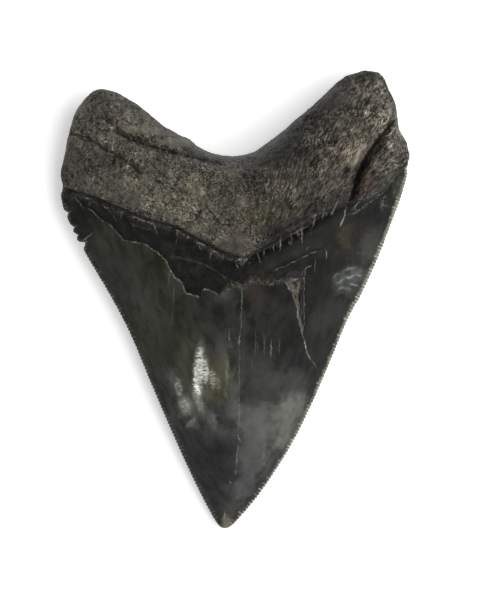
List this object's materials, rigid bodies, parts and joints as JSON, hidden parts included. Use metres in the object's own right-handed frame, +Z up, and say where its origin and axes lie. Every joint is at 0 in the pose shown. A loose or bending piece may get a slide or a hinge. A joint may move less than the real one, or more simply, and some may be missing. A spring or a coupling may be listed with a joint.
{
  "type": "fossil megalodon tooth",
  "caption": "Large fossil shark tooth lying on its flat face: two-lobed rough root, dark bourlette and a triangular enamel crown with finely serrated cutting edges.",
  "frame": {"origin": "on the surface that the tooth lies on, under the middle of its bounding box", "axes": "+X to the right and +Y from the crown's tip to the root as seen from above, +Z up through the bulging lingual face"},
  "size_m": [0.0852, 0.1118, 0.0208],
  "materials": {
    "fossil_tooth": "mineralised tooth: rough grey-brown root, black bourlette, glossy mottled near-black enamel with tan chips along its ends"
  },
  "bodies": {
    "root": {"tooth": "fossil_tooth"}
  },
  "joints": []
}
